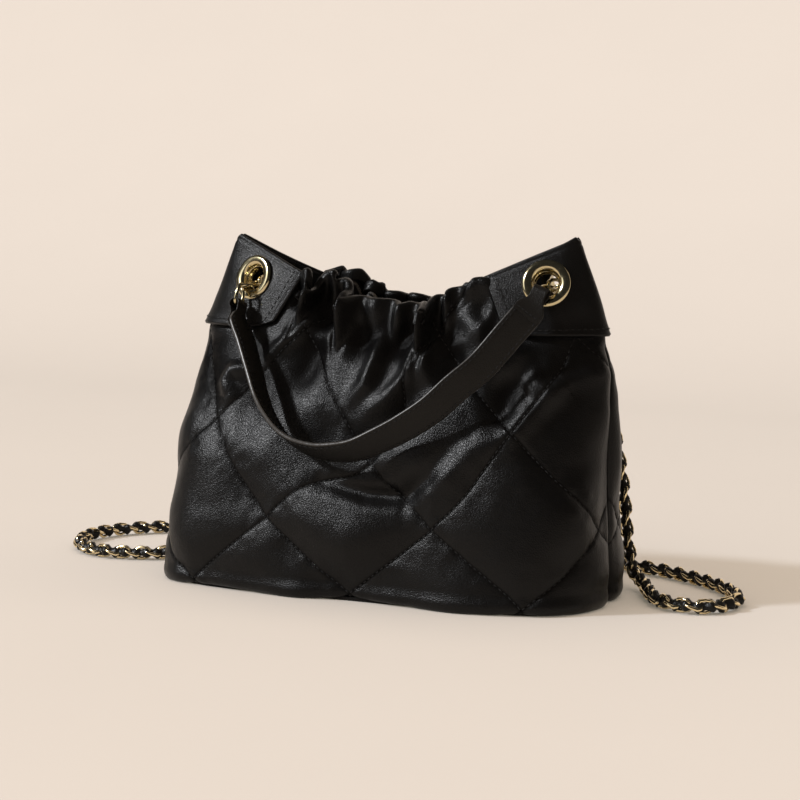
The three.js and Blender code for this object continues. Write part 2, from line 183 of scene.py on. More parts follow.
def noise_field(cells_u, cells_v):
    """A smooth random field that is asked at u and v counted in cells."""
    grid = rng.uniform(-1, 1, (cells_v + 2, cells_u + 2))

    def ask(u, v):
        u = np.clip(u, 0, cells_u - 1e-6)
        v = np.clip(v, 0, cells_v - 1e-6)
        i, j = u.astype(int), v.astype(int)
        a, b = smooth(u - i), smooth(v - j)
        low = grid[j, i] * (1 - a) + grid[j, i + 1] * a
        high = grid[j + 1, i] * (1 - a) + grid[j + 1, i + 1] * a
        return low * (1 - b) + high * b
    return ask


# %% [markdown]
# Materials. The leather is nearly black with a satin face: a very fine pebble grain that
# breaks its highlights up, softer creases, and small changes of gloss where it was handled.
# The grain is one node group that every leather shares, with its own values each time.

# %% Leather grain group
def node(tree, kind, **values):
    n = tree.nodes.new(kind)
    for key, value in values.items():
        if key in n.inputs:
            n.inputs[key].default_value = value
        else:
            setattr(n, key, value)
    return n


def make_grain_group():
    tree = bpy.data.node_groups.new("leather_grain", "ShaderNodeTree")
    for name, value in (("Pebble scale", 1500.0), ("Crease scale", 160.0),
                        ("Crease amount", 0.5)):
        s = tree.interface.new_socket(name, in_out="INPUT", socket_type="NodeSocketFloat")
        s.default_value = value
    for name in ("Height", "Gloss change"):
        tree.interface.new_socket(name, in_out="OUTPUT", socket_type="NodeSocketFloat")
    start = tree.nodes.new("NodeGroupInput")
    end = tree.nodes.new("NodeGroupOutput")
    coord = tree.nodes.new("ShaderNodeTexCoord")
    link = tree.links.new
    cells = node(tree, "ShaderNodeTexVoronoi", feature="SMOOTH_F1")
    cells.inputs["Smoothness"].default_value = 0.5
    crease = node(tree, "ShaderNodeTexNoise", Detail=6.0, Roughness=0.62)
    broad = node(tree, "ShaderNodeTexNoise", Scale=26.0, Detail=3.0)
    for n in (cells, crease, broad):
        link(coord.outputs["Object"], n.inputs["Vector"])
    link(start.outputs["Pebble scale"], cells.inputs["Scale"])
    link(start.outputs["Crease scale"], crease.inputs["Scale"])
    amount = node(tree, "ShaderNodeMath", operation="MULTIPLY")
    link(crease.outputs["Fac"], amount.inputs[0])
    link(start.outputs["Crease amount"], amount.inputs[1])
    height = node(tree, "ShaderNodeMath", operation="ADD")
    link(cells.outputs["Distance"], height.inputs[0])
    link(amount.outputs[0], height.inputs[1])
    link(height.outputs[0], end.inputs["Height"])
    link(broad.outputs["Fac"], end.inputs["Gloss change"])
    return tree


GRAIN = make_grain_group()


def new_material(name, **sockets):
    mat = bpy.data.materials.new(name)
    mat.use_nodes = True
    shader = mat.node_tree.nodes["Principled BSDF"]
    for key, value in sockets.items():
        shader.inputs[key.replace("_", " ")].default_value = value
    return mat, mat.node_tree, shader


def leather(name, colour, roughness, pebble=1500.0, crease=0.5, depth=0.00017, shine=0.17,
            with_painted_shade=False):
    """Sizes of the grain are cells to a metre; leather with painted shade loses its shine where its
    shade attribute says.
    """
    mat, tree, shader = new_material(name, Specular_IOR_Level=shine)
    grain = tree.nodes.new("ShaderNodeGroup")
    grain.node_tree = GRAIN
    grain.inputs["Pebble scale"].default_value = pebble
    grain.inputs["Crease amount"].default_value = crease
    tone = node(tree, "ShaderNodeMapRange")
    tone.inputs["To Min"].default_value = roughness - 0.04
    tone.inputs["To Max"].default_value = roughness + 0.04
    tree.links.new(grain.outputs["Gloss change"], tone.inputs["Value"])
    tree.links.new(tone.outputs["Result"], shader.inputs["Roughness"])
    dye = node(tree, "ShaderNodeMix", data_type="RGBA")
    dye.inputs["A"].default_value = (*[c * 0.75 for c in colour], 1)
    dye.inputs["B"].default_value = (*[c * 1.3 for c in colour], 1)
    tree.links.new(grain.outputs["Gloss change"], dye.inputs["Factor"])
    tree.links.new(dye.outputs["Result"], shader.inputs["Base Color"])
    if with_painted_shade:
        # painted shade: the shade attribute turns the shine down in the hollows and along the stitch
        # lines
        line = node(tree, "ShaderNodeAttribute", attribute_name="shade")
        painted_shade_shine = node(tree, "ShaderNodeMapRange")
        painted_shade_shine.inputs["To Min"].default_value = shine
        painted_shade_shine.inputs["To Max"].default_value = 0.0
        tree.links.new(line.outputs["Fac"], painted_shade_shine.inputs["Value"])
        tree.links.new(painted_shade_shine.outputs["Result"], shader.inputs["Specular IOR Level"])
    bump = node(tree, "ShaderNodeBump", Strength=1.0, Distance=depth)
    tree.links.new(grain.outputs["Height"], bump.inputs["Height"])
    tree.links.new(bump.outputs["Normal"], shader.inputs["Normal"])
    return mat


def woven(name, colour, threads, roughness=0.85):
    """Plain cloth: two sets of threads crossing, seen in colour and bump."""
    mat, tree, shader = new_material(name, Roughness=roughness)
    coord = tree.nodes.new("ShaderNodeTexCoord")
    height = node(tree, "ShaderNodeMath", operation="ADD")
    for i, axis in enumerate(("X", "Z")):
        wave = node(tree, "ShaderNodeTexWave", bands_direction=axis, Scale=threads)
        tree.links.new(coord.outputs["Object"], wave.inputs["Vector"])
        tree.links.new(wave.outputs["Fac"], height.inputs[i])
    dye = node(tree, "ShaderNodeMix", data_type="RGBA")
    dye.inputs["A"].default_value = (*[c * 0.6 for c in colour], 1)
    dye.inputs["B"].default_value = (*colour, 1)
    bump = node(tree, "ShaderNodeBump", Strength=0.7, Distance=0.0002)
    tree.links.new(height.outputs[0], dye.inputs["Factor"])
    tree.links.new(height.outputs[0], bump.inputs["Height"])
    tree.links.new(dye.outputs["Result"], shader.inputs["Base Color"])
    tree.links.new(bump.outputs["Normal"], shader.inputs["Normal"])
    return mat


def plated(name, colour, roughness):
    """Polished plating with faint handling marks."""
    mat, tree, shader = new_material(name, Metallic=1.0)
    shader.inputs["Base Color"].default_value = (*colour, 1)
    coord = tree.nodes.new("ShaderNodeTexCoord")
    marks = node(tree, "ShaderNodeTexNoise", Scale=420.0, Detail=4.0)
    tree.links.new(coord.outputs["Object"], marks.inputs["Vector"])
    tone = node(tree, "ShaderNodeMapRange")
    tone.inputs["To Min"].default_value = roughness
    tone.inputs["To Max"].default_value = roughness + 0.14
    bump = node(tree, "ShaderNodeBump", Strength=0.25, Distance=0.0001)
    tree.links.new(marks.outputs["Fac"], tone.inputs["Value"])
    tree.links.new(marks.outputs["Fac"], bump.inputs["Height"])
    tree.links.new(tone.outputs["Result"], shader.inputs["Roughness"])
    tree.links.new(bump.outputs["Normal"], shader.inputs["Normal"])
    return mat


# the quilted leather carries painted shade in its hollows and along its stitch lines
QUILTED = leather("quilted_leather", (0.0016, 0.0016, 0.0017), 0.32, 1700, 0.05, with_painted_shade=True)
SMOOTH = leather("smooth_leather", (0.0020, 0.0020, 0.0021), 0.33, 1800.0, 0.04)
STRAP = leather("strap_leather", (0.0035, 0.0033, 0.0030), 0.42, pebble=1500.0, crease=0.03)
EDGE = leather("edge_paint", (0.016, 0.016, 0.016), 0.36, 600.0, 0.8, 0.00008, 0.4)
LACE = leather("lace_leather", (0.0040, 0.0040, 0.0040), 0.33, pebble=1300.0)
THREAD = woven("sewing_thread", (0.0016, 0.0016, 0.0016), 900.0, 0.9)
LINING = woven("lining_cloth", (0.03, 0.027, 0.024), 420.0)
TAPE = woven("zip_tape_cloth", (0.012, 0.012, 0.012), 520.0)
ELASTIC = woven("elastic_cloth", (0.02, 0.02, 0.02), 300.0)
BOARD = woven("base_board_paper", (0.09, 0.07, 0.05), 150.0)
# The same plating twice: darkened here as painted shade for the dark surroundings that polished metal
# reflects, and brighter on the chain.
SHADED_GOLD = plated("gold_darkened_for_painted_shade", (0.60, 0.51, 0.31), 0.10)
CHAIN_GOLD = plated("chain_gold", (0.86, 0.70, 0.42), 0.12)
print("materials", len(bpy.data.materials))

# %% [markdown]
# The chain strap is a limp cord: a curb chain with a leather lace woven through it. It
# leaves the back right eyelet, hangs, lies in a loop behind the bag and climbs to the left.
# One link and one lace are modelled; the links are copied along the route, each turned
# against the last as curb links are.

# %% Chain strap route
CHAIN_ROUTE = [
    (96.2, 23.4, 160.6), (98.5, 28, 152), (103.5, 35.5, 139), (104.5, 44.5, 118),
    (108, 50.5, 90), (113.5, 53, 55), (117, 52, 24), (123, 45, 10), (132, 35, 5.5),
    (141, 18, 4.3), (150, 4, 4.3),
    (163, -3.5, 4.3), (177, -3.5, 4.3), (186, 8, 4.3), (186, 26, 4.3), (174, 46, 4.3),
    (152, 66, 4.3), (120, 84, 4.3), (84, 93, 4.3), (24, 95, 4.3), (-46, 96, 4.3),
    (-116, 97, 4.3), (-166, 94, 4.3), (-200, 84, 4.3), (-220, 62, 4.3), (-224, 38, 4.3),
    (-214, 15, 4.3), (-195, 1, 4.3), (-174, 0, 4.3), (-150, 10, 4.6), (-136, 28, 10),
    (-126, 46, 28), (-119.5, 50, 66), (-114, 43, 104), (-101, 34.5, 135), (-87.5, 29, 151.5),
    (-80.2, 23.8, 160.2)]
chain_line = spline(CHAIN_ROUTE, 1.0)
CHAIN_LENGTH = float(np.linalg.norm(np.diff(chain_line, axis=0), axis=1).sum())
print("chain strap, mm", round(CHAIN_LENGTH))


def carried_frame(line, start_up):
    """Directions along a line and across it, the across one carried without twisting."""
    along = np.gradient(line, axis=0)
    along /= np.linalg.norm(along, axis=1)[:, None]
    ups = []
    up = np.array(start_up, float)
    for t in along:
        up = up - up.dot(t) * t
        up /= np.linalg.norm(up)
        ups.append(up.copy())
    return along, np.array(ups)


chain_along, chain_up = carried_frame(chain_line, (0.2, 1, 0.3))


# %% One curb link, then all of them
def wire_link(name, long, wide, wire, major=12, minor=6, twist=0.0):
    """A round wire ring drawn out to an oval, its two sides turned a little apart."""
    bpy.ops.object.select_all(action="DESELECT")
    bpy.ops.mesh.primitive_torus_add(major_radius=wide * MM, minor_radius=wire * MM,
                                     major_segments=major, minor_segments=minor)
    obj = bpy.context.object
    obj.name = name
    for v in obj.data.vertices:
        stretch = (long - wide) * MM
        v.co.x += stretch * math.tanh(v.co.x / (0.45 * wide * MM))
        v.co.z += twist * v.co.x * v.co.y / (wide * MM)
    obj.data.shade_smooth()
    return obj


LINK_STEP = 6.2
one_link = wire_link("curb_link", 4.5, 3.2, 0.92, 12, 6, 0.35)
spots = np.arange(1.0, len(chain_line) - 2, LINK_STEP).astype(int)
link_places = []
for k, i in enumerate(spots):
    side = np.cross(chain_along[i], chain_up[i])
    turn = math.radians(42 if k % 2 else -42)
    face = chain_up[i] * math.cos(turn) + side * math.sin(turn)
    link_places.append(place_matrix(chain_line[i], chain_along[i], face))
chain_links = join_copies("chain_links", one_link, link_places)
bpy.data.objects.remove(one_link)
print("links", len(link_places))


# %% The lace through the links
def tube_mesh(name, line, up, half_wide, half_thick, sides=10):
    """A closed tube with an oval section whose two half widths may change along it."""
    along = np.gradient(line, axis=0)
    along /= np.linalg.norm(along, axis=1)[:, None]
    side = np.cross(along, up)
    a = np.linspace(0, 2 * math.pi, sides, endpoint=False)
    ring = (side[:, None] * (half_wide[:, None] * np.cos(a))[..., None]
            + up[:, None] * (half_thick[:, None] * np.sin(a))[..., None])
    return loft_rings(name, line[:, None] + ring)


s = np.arange(len(chain_line)) * CHAIN_LENGTH / (len(chain_line) - 1)
weave = np.sin(math.pi * s / LINK_STEP)
puff = weave ** 2
lace_line = chain_line + chain_up * (0.8 * weave)[:, None]
lace = tube_mesh("chain_lace", lace_line, chain_up, 2.3 + 1.7 * puff, 1.3 + 1.5 * puff, 8)
finish_piece(chain_links, CHAIN_GOLD, "bag")
finish_piece(lace, LACE, "bag", ["chain_strap"])

# %% [markdown]
# The body is a lofted shell. At each height it has a half width, a half depth and a section
# that goes from a rounded rectangle at the base to a flat lens at the top. The same numbers
# shape the frame's panels, so the leather below lies exactly on them before it is puffed.

# %% Body formula
# Height, half width, half depth and the two powers of the section
LEVELS = np.array([
    [0, 118, 47, 7.0, 0.36], [2, 121, 50, 7.0, 0.36], [6, 124, 52, 6.6, 0.36],
    [20, 126, 53, 6.0, 0.37], [60, 125.5, 49.5, 4.8, 0.41], [100, 122.5, 39.5, 3.5, 0.48],
    [137, 120, 27.5, 2.6, 0.58], [150, 115.4, 24.5, 2.3, 0.62], [165, 109.6, 20.6, 2.1, 0.68],
    [180, 103.8, 14.5, 2.0, 0.72], [192, 99.2, 9.0, 2.0, 0.72]])
FRONT, BACK = -1, 1


def lean(z):
    """The soft top leans to the right."""
    return 4 * smooth((z - 60) / 60) + 4.5 * smooth((z - 105) / 60)


def level(z):
    """Half width, half depth and the two powers of the section at a height, interpolated."""
    z = np.asarray(z, float)
    heights = LEVELS[:, 0]
    i = np.clip(np.searchsorted(heights, z, side="right") - 1, 0, len(heights) - 2)
    h = heights[i + 1] - heights[i]
    t = np.clip((z - heights[i]) / h, 0, 1)
    before, after = np.maximum(i - 1, 0), np.minimum(i + 2, len(heights) - 1)
    out = []
    for k in range(1, 5):
        v = LEVELS[:, k]
        sa = (v[i + 1] - v[before]) / (heights[i + 1] - heights[before])
        sb = (v[after] - v[i]) / (heights[after] - heights[i])
        out.append((2 * t ** 3 - 3 * t ** 2 + 1) * v[i] + (t ** 3 - 2 * t ** 2 + t) * h * sa
                   + (3 * t ** 2 - 2 * t ** 3) * v[i + 1] + (t ** 3 - t ** 2) * h * sb)
    return out


def body_point(theta, z):
    w, d, p, q = level(z)
    s = np.sin(theta)
    face = np.where(np.cos(theta) >= 0, -1.0, 1.0)
    x = w * s
    gather = 1 - 0.4 * smooth((z - 135) / 26) * (1 - smooth((np.abs(x) - 30) / 30))
    y = face * d * np.maximum(0, 1 - np.abs(s) ** p) ** q * gather
    return np.stack([x + lean(z), y, z + 0 * x], -1)


def body_normal(theta, z):
    along = body_point(theta + 0.03, z) - body_point(theta - 0.03, z)
    up = body_point(theta, z + 0.5) - body_point(theta, z - 0.5)
    n = np.cross(along, up)
    return n / np.linalg.norm(n, axis=-1, keepdims=True)


def pinch_right(points, z):
    """Pulls the top of the right side in, where the ear holds it together."""
    points[..., 0] -= 4.5 * smooth((points[..., 0] - 98) / 18) * smooth((z - 118) / 20)


# Angle at each fraction of the way round the front, for every whole millimetre of height
TABLE_STEPS, TABLE_TOP = 600, 192
STEPS = np.linspace(-1, 1, TABLE_STEPS + 1)
THETAS = math.pi / 2 * np.sign(STEPS) * (1 - (1 - np.abs(STEPS)) ** 1.7)
FRACTIONS = np.linspace(0, 1, TABLE_STEPS + 1)
theta_table = []
arc_lengths = []
for z in range(TABLE_TOP + 1):
    section = body_point(THETAS, np.full(TABLE_STEPS + 1, float(z)))
    run = np.r_[0, np.cumsum(np.linalg.norm(np.diff(section, axis=0), axis=1))]
    theta_table.append(np.interp(FRACTIONS, run / run[-1], THETAS))
    arc_lengths.append(run[-1])
theta_table = np.array(theta_table)
ARC = arc_lengths[60]
print("leather round the front, mm", round(ARC))


def even_theta(f, z):
    zi = np.clip(z, 0, TABLE_TOP - 0.001)
    i, fi = zi.astype(int), np.clip(f, 0, 1) * TABLE_STEPS
    j = np.minimum(fi.astype(int), TABLE_STEPS - 1)
    a, b = zi - i, fi - j
    low = theta_table[i, j] * (1 - b) + theta_table[i, j + 1] * b
    high = theta_table[i + 1, j] * (1 - b) + theta_table[i + 1, j + 1] * b
    return low * (1 - a) + high * a


# %% [markdown]
# What makes the bag soft is three things on top of the shell. The elastic gathers the rim,
# so the leather stands in pleats that turn over at the edge and die out downwards. Long
# folds hang from the ears and the pleats. The wadding swells between the quilting lines,
# and each line of stitches pulls a narrow groove. The folds are given as strokes:
# height, width and the points they pass through (across, up), in millimetres.

# %% Folds
FRONT_FOLDS = [
    (6.0, 5.0, [(-49, 161), (-50, 150), (-56, 141)]),
    (5.0, 5.0, [(-40, 153), (-52, 136), (-66, 122), (-71, 117)]),
    (6.0, 5.5, [(-23, 160), (-22, 147), (-27, 134)]),
    (4.5, 4.5, [(0, 140), (1, 126), (-1, 112), (-12, 99)]),
    (5.5, 5.0, [(24, 154), (23, 128), (21, 116), (13, 106), (-4, 93)]),
    (3.8, 4.0, [(29, 133), (30, 121), (35, 111)]),
    (4.5, 6.0, [(37, 161), (41, 149), (50, 146), (60, 134)]),
    (4.0, 8.0, [(82, 138), (70, 122), (67, 110)]),
    (5.5, 7.0, [(112, 121), (103, 117), (91, 103), (83, 92), (64, 83)]),
    (3.5, 6.0, [(84, 112), (95, 120)]),
    (4.0, 4.5, [(-74, 119), (-87, 116), (-90, 110), (-86, 103), (-90, 94)]),
    (2.5, 14.0, [(-41, 34), (-3, 37), (41, 36)]),
    (2.5, 9.0, [(46, 60), (63, 78), (78, 88)]),
    (-4.5, 4.5, [(-18, 62), (8, 57), (29, 57), (43, 68), (61, 88)]),
    (-4.0, 7.0, [(76, 93), (76, 108), (79, 126)]),
    (-4.5, 8.0, [(-34, 140), (-39, 118), (-44, 100)]),
    (-4.0, 7.0, [(10, 150), (12, 134), (9, 120)]),
    (-3.5, 6.0, [(-10, 150), (-12, 132), (-15, 118)]),
    (-2.5, 8.0, [(-76, 104), (-68, 92), (-47, 84)]),
    (-3.0, 6.0, [(42, 136), (44, 122), (53, 108)])]
BACK_FOLDS = [
    (5.5, 5.0, [(44, 161), (47, 146), (58, 130), (70, 118)]),
    (5.5, 5.5, [(20, 160), (18, 142), (24, 122), (30, 108)]),
    (5.0, 5.0, [(-8, 158), (-6, 138), (-12, 120), (-8, 104)]),
    (5.5, 5.0, [(-34, 160), (-38, 144), (-50, 128), (-64, 116)]),
    (4.0, 8.0, [(-112, 120), (-96, 108), (-80, 92), (-60, 84)]),
    (4.0, 6.0, [(84, 124), (92, 112), (88, 98)]),
    (3.0, 12.0, [(-40, 38), (0, 36), (44, 38)]),
    (-4.0, 6.0, [(6, 150), (6, 130), (2, 114)]),
    (-4.0, 6.0, [(-22, 152), (-24, 132), (-32, 114)]),
    (-4.0, 6.0, [(34, 150), (38, 130), (46, 112)]),
    (-3.5, 5.0, [(-50, 90), (-20, 66), (14, 60), (44, 74)])]
# Pleats that turn over at the rim: place across, how far out, how far the edge drops, width
FRONT_PLEATS = [(-49, 6.5, 13.0, 4.2), (-36, 2.5, 2.0, 3.0), (-23, 6.5, 12.0, 4.2),
                (-8, 4.5, 2.5, 6.0), (7, 3.4, 3.5, 3.4), (15, -2.0, 0.0, 3.0),
                (24, 6.0, 11.0, 3.2), (35, 4.0, 4.0, 3.4),
                (47, 2.5, 1.0, 4.5)]
BACK_PLEATS = [(50, 4.0, 5.0, 4.5), (36, 5.5, 6.0, 4.5), (20, 6.0, 8.0, 4.5), (5, 4.0, 3.0, 4.5),
               (-9, 5.0, 6.0, 4.0), (-22, 4.0, 3.0, 4.0), (-34, 6.0, 8.0, 4.5), (-48, 4.0, 3.0, 4.5)]
FOLDS = {FRONT: FRONT_FOLDS, BACK: BACK_FOLDS}
PLEATS = {FRONT: FRONT_PLEATS, BACK: BACK_PLEATS}


def fold_height(x, z, height, width, points):
    """A rounded stroke along the points, thin at its start and fading out at its end."""
    p = np.array(points, float)
    lengths = np.linalg.norm(np.diff(p, axis=0), axis=1)
    total, done = lengths.sum(), 0.0
    best = np.full(x.shape, 1e9)
    where = np.zeros(x.shape)
    for i, length in enumerate(lengths):
        d = (p[i + 1] - p[i]) / length
        t = np.clip((x - p[i, 0]) * d[0] + (z - p[i, 1]) * d[1], 0, length)
        away = np.hypot(x - p[i, 0] - t * d[0], z - p[i, 1] - t * d[1])
        nearer = away < best
        best = np.where(nearer, away, best)
        where = np.where(nearer, (done + t) / total, where)
        done += length
    taper = 0.25 + 0.75 * smooth(where / 0.3) * smooth((1 - where) / 0.45)
    return height * taper * np.exp(-(best / (width * (0.85 + 0.5 * where))) ** 2)


RIM = [(-60, 170), (-44, 172), (-36, 167), (-29, 166), (-19, 157.5), (-2, 156.5), (5, 155.5),
       (22, 155), (28, 157.5), (35, 160), (42, 164), (52, 168), (60, 169)]


def rim_height(half, x):
    """Top of the gathered rim in the middle, lower and level where the ears cover it."""
    across, high = np.array(RIM, float).T
    top = sum(np.interp(x + d, across, high) for d in (-3, 0, 3)) / 3
    for at, _, drop, width in PLEATS[half]:
        top = top - drop * np.exp(-np.abs((x - at) / width) ** 2.6)
    return top + (149.5 - top) * smooth((np.abs(x) - 62) / 8)


def fractions(cols, rows, f0=0.0, f1=1.0):
    """Fractions across and up for every point of a grid."""
    f = np.linspace(f0, f1, cols + 1)[None, :] + np.zeros((rows + 1, 1))
    return f, np.linspace(0, 1, rows + 1)[:, None] + 0 * f


def rim_over(half, f):
    """Height of the gathered rim above each fraction of the way round."""
    x = body_point(even_theta(f, 150 + 0 * f), 150 + 0 * f)[..., 0] - lean(150)
    return rim_height(half, x * (1 if half == FRONT else -1))


soft_front, soft_back = noise_field(12, 8), noise_field(12, 8)
fine_front, fine_back = noise_field(60, 36), noise_field(60, 36)
SOFT = {FRONT: soft_front, BACK: soft_back}
FINE = {FRONT: fine_front, BACK: fine_back}


def folds(half, x, z, top):
    """Height of the strokes, the pleats at the rim and the lip that the elastic turns out."""
    out = np.zeros(x.shape)
    for height, width, points in FOLDS[half]:
        out += fold_height(x, z, height, width, points)
    near_rim = smooth((z - top + 30) / 30)
    middle = 1 - smooth((np.abs(x) - 52) / 10)
    for at, depth, _, width in PLEATS[half]:
        spread = width * (1.9 - 0.9 * near_rim)
        out += depth * near_rim * np.exp(-np.abs((x - at) / spread) ** 2.2) * middle
    below = top - z
    out += middle * (3.0 * np.exp(-(below / 6) ** 2) - 4.5 * np.exp(-((below - 15) / 8) ** 2))
    return out


# %% Quilting
QUILT_W, QUILT_H = 94.0, 88.0
LINE_GAP = 1 / math.hypot(1 / QUILT_W, 1 / QUILT_H)


def quilt_coordinates(half, s, z):
    """Two numbers that are whole on the two sets of quilting lines."""
    up = np.interp(z, [0, 4, 41, 91, 140, 170], [-2, 2, 46, 90, 134, 162])
    if half == FRONT:
        pull = np.exp(-((s - 13) / 34) ** 2) * smooth((z - 42) / 26) * (1 - smooth((z - 88) / 40))
        up = up + 16 * pull
        s = s - 13 * pull
    middle = np.interp(z, [10, 60, 100, 140], [0, -2, -5, -8])
    a, b = (s - middle) / QUILT_W, (up - 2) / QUILT_H
    return a + b, a - b


def quilting(half, s, z):
    """Height of the wadded leather, and a painted shade along each line of stitches."""
    one, two = quilt_coordinates(half, s, z)
    d1 = np.abs(one - np.round(one)) * LINE_GAP
    d2 = np.abs(two - np.round(two)) * LINE_GAP
    near = np.minimum(d1, d2)
    softer = -np.log(np.exp(-d1 / 4) + np.exp(-d2 / 4)) * 4 + 2.8
    swell = 1 - np.exp(-(np.maximum(softer, 0) / 15) ** 1.7)
    keep = 1 - 0.6 * smooth((z - 105) / 34)
    pucker = FINE[half](30 + s / 5.0, z / 5.0) * np.exp(-near / 7)
    groove = 0.45 * np.exp(-(near / 0.7) ** 2) + 0.25 * np.exp(-(near / 2.4) ** 2)
    # the second value is painted shade: a narrow band along each stitch line that takes the shine off
    return (3.0 * swell - 0.6) * keep + 0.45 * pucker - groove, np.exp(-(near / 0.7) ** 2)


# %% [markdown]
# The two quilted panels. Each is a grid laid over its half of the shell, moved out along
# the shell's normal, thickened and sewn to the other along the sides, where it dips.

# %% Quilted panels
PANEL_Z0 = 2.3
FLOOR_GAP = 0.2
HEM_ROWS, HEM_R = 14, 2.3


def panel_shape(half, cols=360, rows=200):
    """Points, normals, rim heights, hem rows and painted shade marks of one quilted panel."""
    f, v = fractions(cols, rows, 0.001, 0.999)
    top = rim_over(half, f) - HEM_R
    z = PANEL_Z0 + (top - PANEL_Z0) * v
    theta = even_theta(f, z) + (math.pi if half == BACK else 0)
    base, n = body_point(theta, z), body_normal(theta, z)
    s = (f - 0.5) * ARC * (1 if half == FRONT else -1)
    x = base[..., 0] - lean(z)
    under_ear = smooth((np.abs(x) - 55) / 8) * smooth((z - 130) / 8)
    puffs, shade = quilting(half, s, z)
    side = np.minimum(f, 1 - f) * ARC
    # the folds, the wadding and the loose hang of the hide, held in before the lining
    out = folds(half, x, z, top) + puffs
    out += 2.2 * SOFT[half](6 + s / 30, z / 26) + 0.22 * FINE[half](30 + s / 9, 3 + z / 9)
    out = np.maximum(out, -6.0) * smooth((side + 1) / 10)
    # the bottom edge bulges, and the left corner stands out most
    out += 2.6 * (1 - smooth((z - PANEL_Z0) / 9)) + 2.5 * smooth((-x - 70) / 40) * (
        1 - smooth((z - 10) / 40))
    # the side seam pulls in, and under the ears the leather lies flat
    out -= 1.5 * np.exp(-(side / 2.2) ** 2) + 0.7 * np.exp(-(side / 8.0) ** 2)
    out = out * smooth((z + 4) / 9) * (1 - under_ear) - 0.6 * under_ear
    shade = shade * (1 - under_ear)
    # painted shade: the hollows between the gathers get a mark that takes their shine away
    hollow_painted_shade = smooth((1.8 - out) / 4.5) * smooth((z - 88) / 22) * (1 - under_ear)
    shade = np.maximum(shade, 0.85 * hollow_painted_shade)
    points = base + n * out[..., None]
    pinch_right(points, z)
    points[..., 2] = np.maximum(points[..., 2], FLOOR_GAP)
    # the hem turns over at the rim and goes down inside
    rim, before = points[-1], points[-4]
    up = rim - before
    up /= np.linalg.norm(up, axis=1)[:, None]
    along = np.gradient(rim, axis=0)
    inward = np.cross(along, up) * -1
    inward /= np.linalg.norm(inward, axis=1)[:, None]
    hem = []
    for k in range(1, HEM_ROWS + 1):
        a = min(math.pi, math.pi * k / 9)
        down = 0.9 * max(0, k - 9)
        hem.append(rim + inward * HEM_R * (1 - math.cos(a)) + up * (HEM_R * math.sin(a) - down))
    return points, n, top, np.array(hem), shade


def sample_grid(grid, f, v):
    """Reads rows by columns of values at fractions across and up."""
    rows, cols = grid.shape[0] - 1, grid.shape[1] - 1
    a, b = np.clip(f, 0, 1) * cols, np.clip(v, 0, 1) * rows
    i, j = np.minimum(a.astype(int), cols - 1), np.minimum(b.astype(int), rows - 1)
    a, b = (a - i)[:, None], (b - j)[:, None]
    return ((grid[j, i] * (1 - a) + grid[j, i + 1] * a) * (1 - b)
            + (grid[j + 1, i] * (1 - a) + grid[j + 1, i + 1] * a) * b)


panel_grids = {}
for half, name in ((FRONT, "front_panel"), (BACK, "back_panel")):
    points, normals, top, hem, shade = panel_shape(half)
    panel_grids[half] = (points, normals, top)
    panel = sheet_mesh(name + "_quilted", np.concatenate([points, hem]))
    # the painted shade marks become the shade attribute; the hem carries none
    marks = np.concatenate([shade, np.zeros(hem.shape[:2])])
    panel.data.attributes.new("shade", "FLOAT", "POINT").data.foreach_set(
        "value", marks.reshape(-1).astype(np.float32))
    apply_modifier(panel, "SOLIDIFY", thickness=1.0 * MM, offset=-1)
    finish_piece(panel, QUILTED, "bag", [name])
    print(panel.name, len(panel.data.polygons), "faces")

# %% [markdown]
# The thread is real geometry: one small stitch, copied along every quilting line and along
# the edges of the ears and the handle.

# %% Stitches
bpy.ops.object.select_all(action="DESELECT")
bpy.ops.mesh.primitive_uv_sphere_add(segments=6, ring_count=4, radius=1.0)
one_stitch = bpy.context.object
bpy.ops.object.mode_set(mode="EDIT")
bpy.ops.mesh.select_all(action="SELECT")
bpy.ops.transform.resize(value=(1.15 * MM, 0.33 * MM, 0.24 * MM))
bpy.ops.object.mode_set(mode="OBJECT")


def stitch_places(line, normals, pitch=3.3, lift=0.12, scale=1.0):
    """Places along a line of points (mm), each stitch lying on the surface."""
    along = np.r_[0, np.cumsum(np.linalg.norm(np.diff(line, axis=0), axis=1))]
    if along[-1] < pitch:
        return []
    spots = np.arange(pitch / 2, along[-1], pitch)
    p = np.stack([np.interp(spots, along, line[:, k]) for k in range(3)], 1)
    n = np.stack([np.interp(spots, along, normals[:, k]) for k in range(3)], 1)
    t = np.gradient(line, axis=0)
    t = np.stack([np.interp(spots, along, t[:, k]) for k in range(3)], 1)
    return [place_matrix(p[i] + n[i] * lift, t[i], n[i], scale) for i in range(len(spots))]


LINE_POINTS = 321


def quilt_lines(half):
    """The quilting lines of a panel, each as its points and normals on the leather."""
    points, normals, top_grid = panel_grids[half]
    made = []
    for family in (0, 1):
        for k in range(-4, 5):
            z = np.linspace(4, 164, LINE_POINTS)
            s = np.zeros(LINE_POINTS)
            for _ in range(12):
                s = s + (k - quilt_coordinates(half, s, z)[family]) * QUILT_W * 0.8
            f = 0.5 + s / ARC * (1 if half == FRONT else -1)
            tops = sample_grid(top_grid[..., None], f, 0 * f)[:, 0]
            v = (z - PANEL_Z0) / (tops - PANEL_Z0)
            ok = (f > 0.012) & (f < 0.988) & (v < 0.97)
            for part in np.split(np.arange(LINE_POINTS), np.where(np.diff(ok.astype(int)) != 0)[0] + 1):
                if ok[part[0]] and len(part) > 8:
                    made.append((sample_grid(points, f[part], v[part]),
                                 sample_grid(normals, f[part], v[part])))
    return made


for half, name in ((FRONT, "front_panel_stitches"), (BACK, "back_panel_stitches")):
    places = []
    for line, n in quilt_lines(half):
        places += stitch_places(line, n)
    thread = join_copies(name, one_stitch, places)
    finish_piece(thread, THREAD, "bag")
    print(name, len(places))

# %% [markdown]
# The base: the bottom panel is the frame's own plate with its edges rounded by a bevel.

